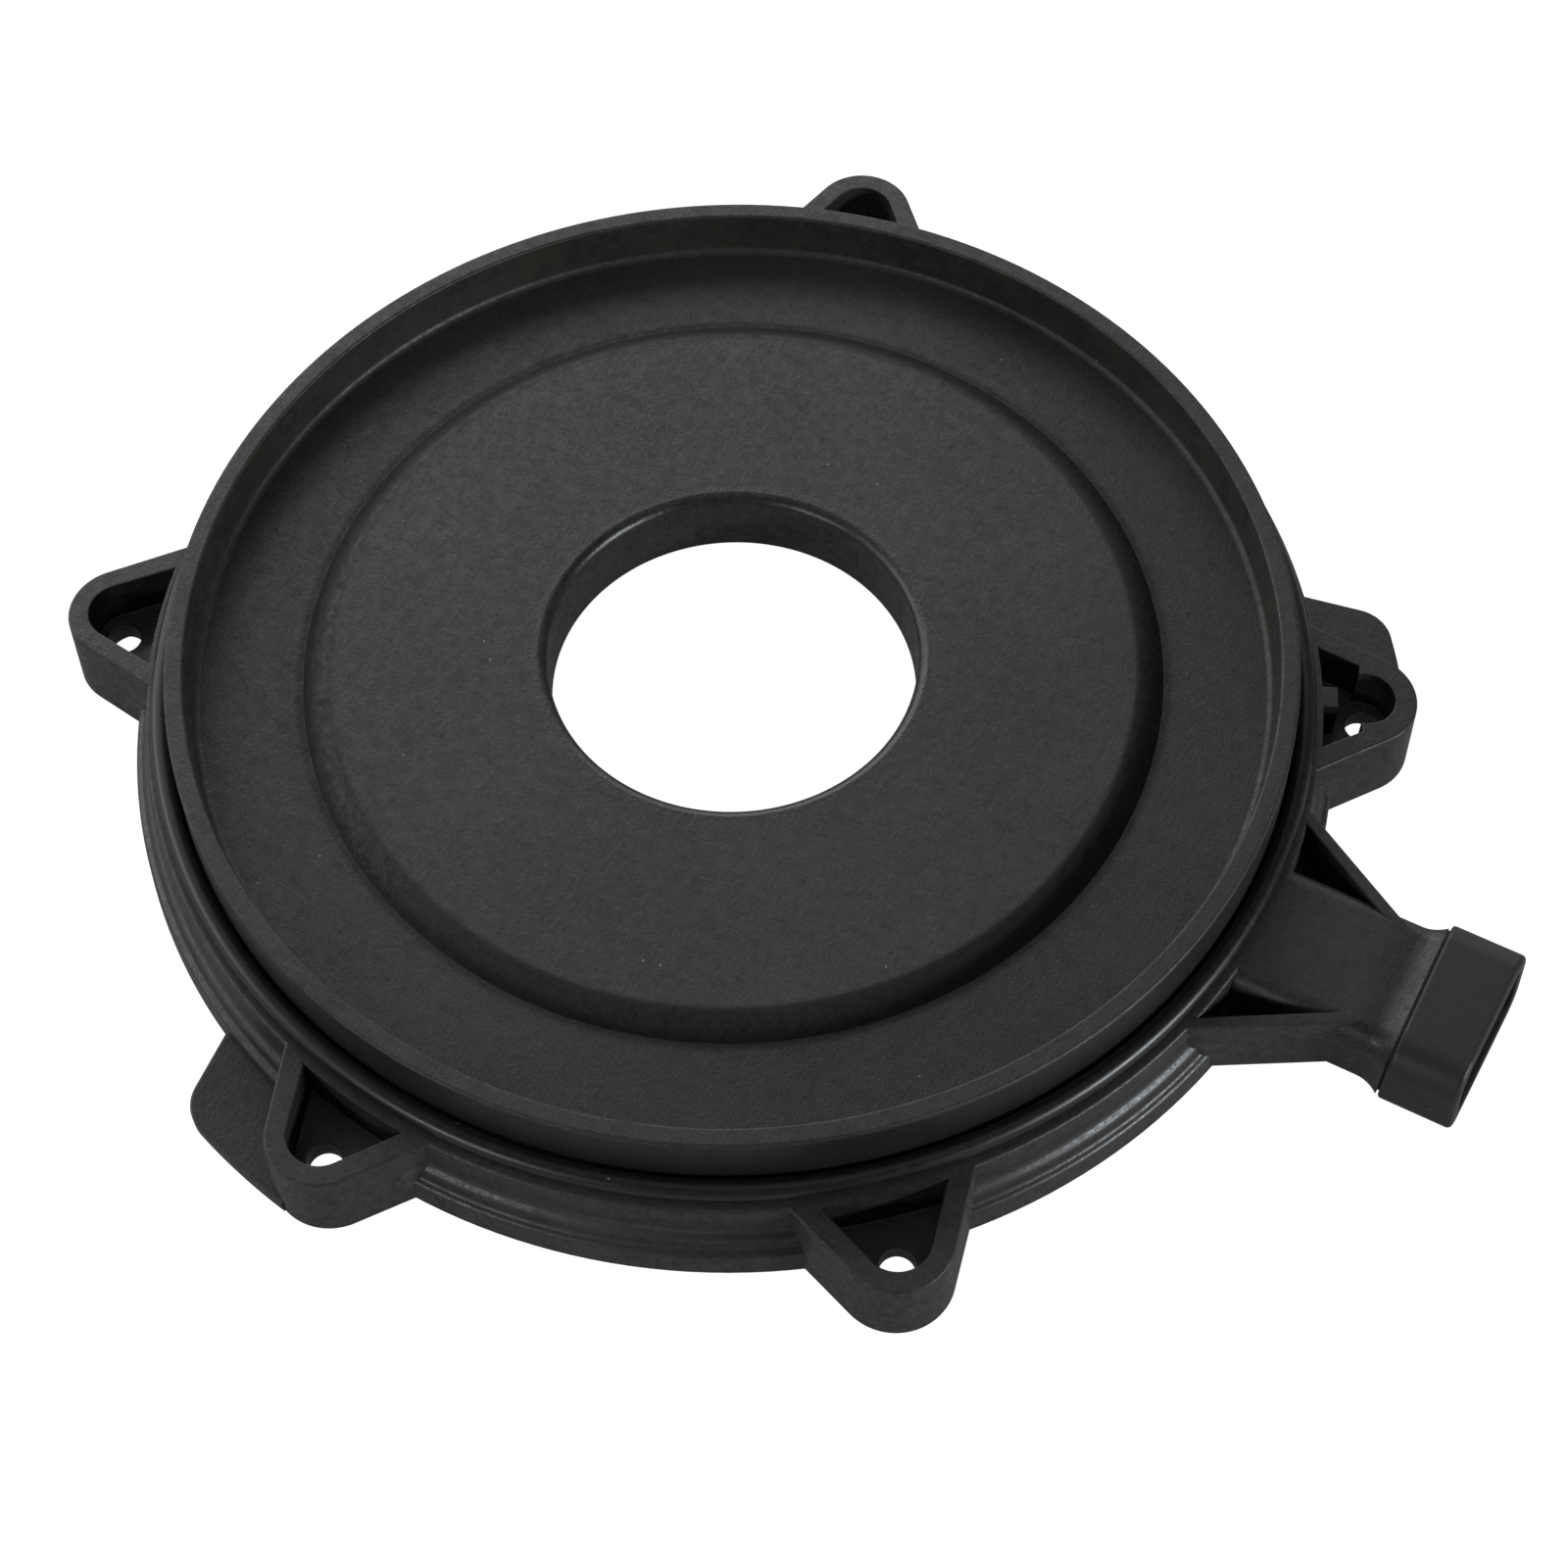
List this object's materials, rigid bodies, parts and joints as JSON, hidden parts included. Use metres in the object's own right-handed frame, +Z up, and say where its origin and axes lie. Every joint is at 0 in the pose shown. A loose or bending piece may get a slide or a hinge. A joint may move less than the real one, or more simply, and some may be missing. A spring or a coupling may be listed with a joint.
{
  "type": "waste disposer discharge chamber",
  "caption": "Flat round discharge chamber with a dished top, rimmed and sealed by an O-ring, screw lugs round its skirt and a flattened side outlet.",
  "frame": {"origin": "centre of the whole part's box at its base, on the plane that the skirt, wings and outlet collar stand on", "axes": "+Z up along the bore, from the skirt's foot to the rim; +X along the outlet neck, out of its mouth; +Y completes the right-handed frame"},
  "size_m": [0.2374, 0.2172, 0.0266],
  "materials": {
    "moulding": "fine grained, glass filled",
    "dish": "fine grained, mottled, glass filled",
    "rubber": "smooth, slightly glossy",
    "collar": "smooth satin",
    "screw": "stainless, lightly worn"
  },
  "bodies": {
    "root": {"outlet_housing": "moulding", "dish_plate": "dish", "rim_o_ring": "rubber", "plate_gasket": "rubber", "outlet_collar": "collar", "collar_gasket": "rubber", "plate_screw_1": "screw", "plate_screw_2": "screw", "plate_screw_3": "screw", "plate_screw_4": "screw", "plate_screw_5": "screw", "plate_screw_6": "screw", "plate_screw_7": "screw", "plate_screw_8": "screw", "screw_seal_1": "rubber", "screw_seal_2": "rubber", "screw_seal_3": "rubber", "screw_seal_4": "rubber", "screw_seal_5": "rubber", "screw_seal_6": "rubber", "screw_seal_7": "rubber", "screw_seal_8": "rubber"}
  },
  "joints": []
}
